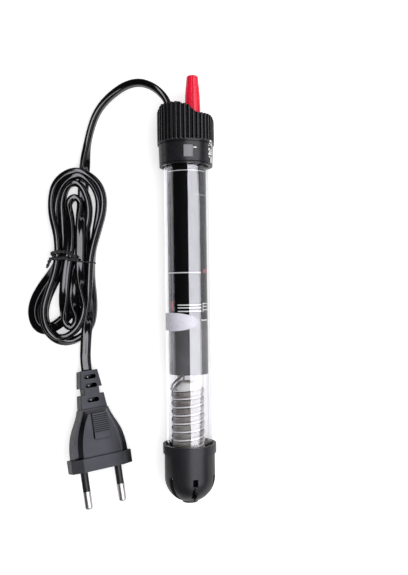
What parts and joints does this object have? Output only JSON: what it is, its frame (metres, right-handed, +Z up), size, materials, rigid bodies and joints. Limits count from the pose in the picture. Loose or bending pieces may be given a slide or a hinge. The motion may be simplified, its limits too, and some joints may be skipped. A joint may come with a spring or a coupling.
{
  "type": "submersible aquarium heater",
  "caption": "Glass tube heater with a ribbed cap, turning red temperature knob, wound element, slotted foot cover, and a tied flat cord with a flat two-pin plug.",
  "frame": {"origin": "on the surface that the heater lies on, under the middle of its length, knob to foot", "axes": "+Y along the tube towards the cap and knob, +Z up, window in the collar facing up"},
  "size_m": [0.1007, 0.2224, 0.0293],
  "materials": {
    "cap_plastic": "satin black moulding",
    "foot_plastic": "satin black moulding",
    "red_plastic": "translucent red moulding",
    "spindle_metal": "turned",
    "spring_steel": "rolled strip",
    "seal_rubber": "moulded rubber",
    "window_clear": "clear moulding",
    "indicator_grey": "matt",
    "tube_glass": "drawn glass tube",
    "black_sleeve": "matt printed film",
    "grey_sleeve": "matt film",
    "carrier_plastic": "moulded",
    "terminal_brass": "stamped",
    "contact_metal": "polished",
    "magnet_iron": "sintered",
    "lamp_glass": "clear bulb",
    "resistor_body": "lacquered",
    "capacitor_body": "dipped",
    "lead_insulation": "sleeved wire",
    "mica": "laminated mica",
    "ceramic_white": "unglazed ceramic",
    "heater_wire": "coiled resistance wire",
    "terminal_nickel": "nickel strip",
    "glass_wool": "pressed fibre",
    "cord_pvc": "smooth flex sheath",
    "tie_plastic": "ribbed plastic tie",
    "plug_plastic": "satin black moulding",
    "pin_nickel": "nickel plated",
    "pin_sleeve_plastic": "satin black moulding"
  },
  "bodies": {
    "root": {"blade_post": "terminal_brass", "blade_rivets": "spindle_metal", "cap_shell": "cap_plastic", "carrier_board": "carrier_plastic", "ceramic_former": "ceramic_white", "coil_terminals": "terminal_nickel", "cord_from_cap": "cord_pvc", "cord_hank": "cord_pvc", "cord_tie": "tie_plastic", "cord_to_plug": "cord_pvc", "element_lead": "lead_insulation", "fixed_contact": "contact_metal", "fixed_contact_blade": "terminal_brass", "foot_cover": "foot_plastic", "former_cushion": "glass_wool", "glass_tube": "tube_glass", "heating_coil": "heater_wire", "lamp_resistor": "resistor_body", "live_lead": "lead_insulation", "lower_sleeve": "grey_sleeve", "mica_discs": "mica", "neon_lamp": "lamp_glass", "neutral_lead": "lead_insulation", "plug_base": "plug_plastic", "plug_body": "plug_plastic", "plug_pins": "pin_nickel", "plug_sleeves": "pin_sleeve_plastic", "plug_strain_relief": "plug_plastic", "printed_sleeve": "black_sleeve", "rubber_stopper": "seal_rubber", "snap_magnet": "magnet_iron", "spindle_o_rings": "seal_rubber", "support_wires": "terminal_nickel", "suppressor_capacitor": "capacitor_body", "window_lens": "window_clear"},
    "knob": {"temperature_knob": "red_plastic", "knob_spindle": "spindle_metal", "spindle_circlip": "spring_steel"},
    "indicator": {"indicator_slide": "indicator_grey"},
    "blade": {"bimetal_blade": "spring_steel", "moving_contact": "contact_metal"}
  },
  "joints": [
    {"name": "knob_turn", "type": "hinge", "parent": "root", "child": "knob", "pos_m": [0.0038, 0.0881, 0.01465], "axis": [0, 1, 0], "range_deg": [-150, 150]},
    {"name": "indicator_travel", "type": "slide", "parent": "root", "child": "indicator", "axis": [0, 1, 0], "range_m": [-0.00183, 0.00183]},
    {"name": "bimetal_flex", "type": "hinge", "parent": "root", "child": "blade", "pos_m": [0, 0.0329, 0.01715], "axis": [-1, 0, 0], "range_deg": [0, 2], "stiffness_Nm_per_rad": 0.32}
  ],
  "couplings": [
    {"joint": "knob_turn", "follows": "indicator_travel", "rad_per_m": -1428}
  ]
}
